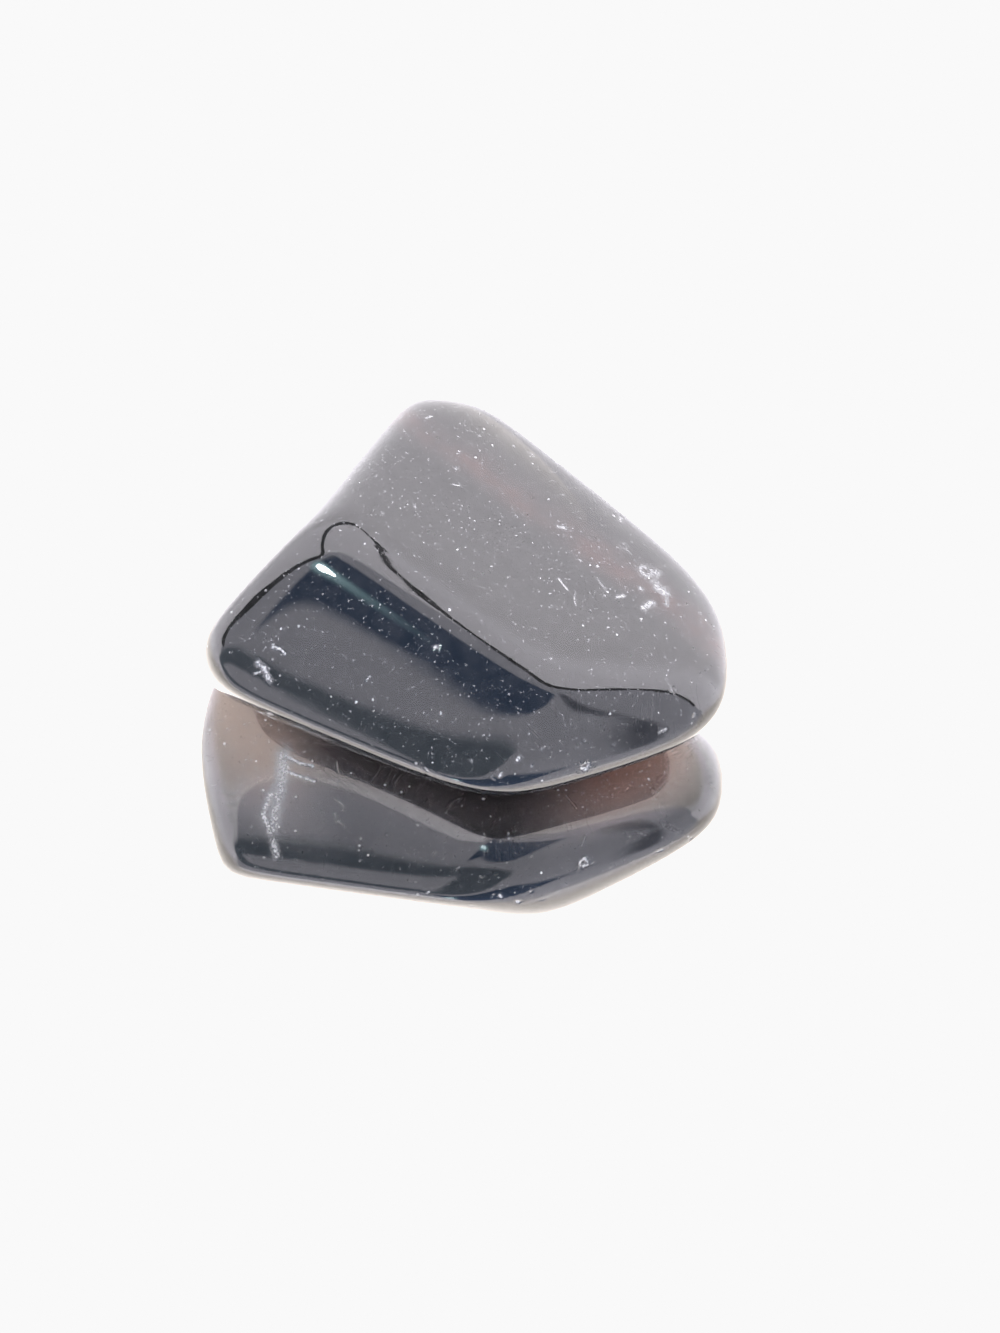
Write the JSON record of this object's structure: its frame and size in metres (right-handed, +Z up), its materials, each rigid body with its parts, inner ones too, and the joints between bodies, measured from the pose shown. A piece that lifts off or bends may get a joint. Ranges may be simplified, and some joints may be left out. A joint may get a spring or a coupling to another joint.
{
  "type": "tumbled obsidian stone",
  "caption": "Small tumbled and polished stone of smoky volcanic glass, a blunt wedge with broad worn faces and soft edges.",
  "frame": {"origin": "on the surface the stone rests on, under the middle of its outline", "axes": "+Z up from the resting facet, +X along the stone's length towards its blunt end, -Y towards the side with the steep dark face"},
  "size_m": [0.0273, 0.0238, 0.0124],
  "materials": {
    "obsidian": "polished"
  },
  "bodies": {
    "root": {"obsidian_stone": "obsidian"}
  },
  "joints": []
}
